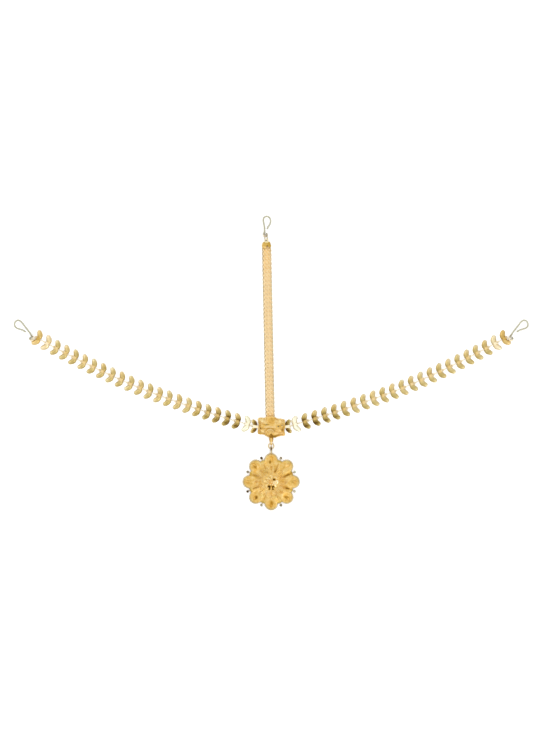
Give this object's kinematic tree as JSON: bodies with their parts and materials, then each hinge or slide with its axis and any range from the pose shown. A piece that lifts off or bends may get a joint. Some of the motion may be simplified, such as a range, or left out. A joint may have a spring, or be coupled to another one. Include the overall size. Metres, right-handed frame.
{
  "type": "matha patti",
  "caption": "Head jewel laid flat: two chains of paired leaves and a flat woven band meet at a small winged plaque, with wire hooks at their ends and a domed flower pendant below.",
  "frame": {"origin": "centre of the plaque's flat back, on the surface that the jewel lies on", "axes": "+X to the right along the two side chains, +Y up along the centre band, +Z out of the surface towards the jewel's face"},
  "size_m": [0.3601, 0.2061, 0.0056],
  "materials": {
    "leaf_gold": "polished gold plate",
    "wire_gold": "polished pale gold plate",
    "band_gold": "soft-polished gold plate",
    "cast_gold": "satin granulated gold plate"
  },
  "bodies": {
    "root": {"centre_plaque": "cast_gold", "leaf_chain_left_inner": "leaf_gold", "leaf_chain_left_outer": "leaf_gold", "leaf_chain_right_inner": "leaf_gold", "leaf_chain_right_outer": "leaf_gold", "left_hook_ring": "wire_gold", "right_hook_ring": "wire_gold", "left_hook": "wire_gold", "right_hook": "wire_gold", "band": "band_gold", "band_end_cap": "cast_gold", "band_ring": "wire_gold", "top_hook": "wire_gold", "pendant_jump_ring": "wire_gold", "pendant_flower": "cast_gold", "pendant_rosette": "cast_gold"}
  },
  "joints": []
}
